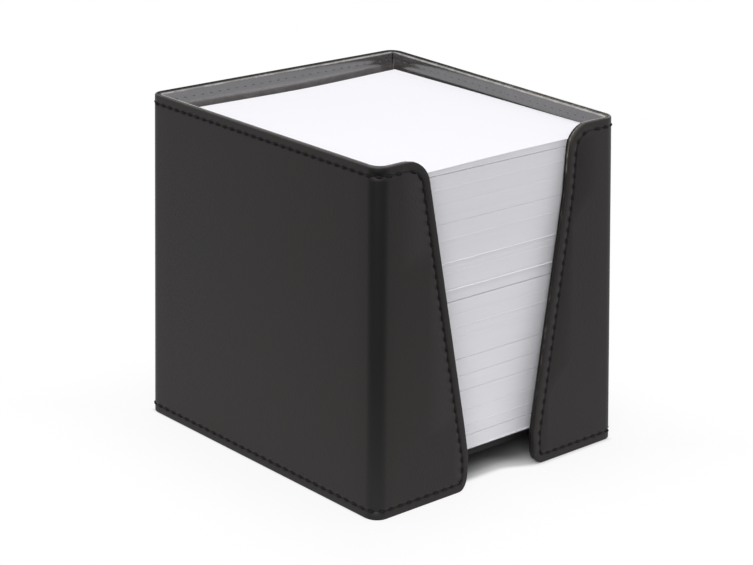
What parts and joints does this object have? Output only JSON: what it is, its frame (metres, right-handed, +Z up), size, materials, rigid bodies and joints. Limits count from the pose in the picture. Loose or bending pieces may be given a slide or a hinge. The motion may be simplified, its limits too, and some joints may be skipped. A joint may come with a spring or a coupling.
{
  "type": "memo pad holder",
  "caption": "Square open-topped leatherette box for loose note sheets, stitched round its edges, with a V-shaped front slot and a raised tray.",
  "frame": {"origin": "middle of the footprint, on the table", "axes": "+Z up; the slotted front faces -Y; +X is to the right seen from the front"},
  "size_m": [0.0968, 0.1008, 0.1],
  "materials": {
    "leatherette": "fine grain, semi-matt",
    "lining": "smooth, satin",
    "greyboard": "plain",
    "thread": "twisted polyester",
    "black_paper": "plain",
    "note_paper": "uncoated white"
  },
  "bodies": {
    "holder": {"outer_cover": "leatherette", "left_board": "greyboard", "back_board": "greyboard", "right_board": "greyboard", "left_wing_board": "greyboard", "right_wing_board": "greyboard", "left_lining": "lining", "back_lining": "lining", "right_lining": "lining", "left_wing_lining": "lining", "right_wing_lining": "lining", "top_seam_thread": "thread", "bottom_seam_thread": "thread", "left_slot_seam_thread": "thread", "right_slot_seam_thread": "thread", "tray_board": "greyboard", "tray_backing_sheet": "black_paper", "tray_cover": "leatherette", "left_tray_rail": "greyboard", "right_tray_rail": "greyboard", "back_tray_rail": "greyboard"},
    "lower_pack": {"lower_note_pack": "note_paper"},
    "upper_pack": {"upper_note_pack": "note_paper"},
    "loose_notes": {"loose_top_notes": "note_paper"}
  },
  "joints": [
    {"name": "lower_pack_lift", "type": "slide", "parent": "holder", "child": "lower_pack", "axis": [0, 0, 1], "range_m": [0, 0.095]},
    {"name": "upper_pack_lift", "type": "slide", "parent": "lower_pack", "child": "upper_pack", "axis": [0, 0, 1], "range_m": [0, 0.05]},
    {"name": "loose_notes_lift", "type": "slide", "parent": "upper_pack", "child": "loose_notes", "axis": [0, 0, 1], "range_m": [0, 0.03]}
  ]
}
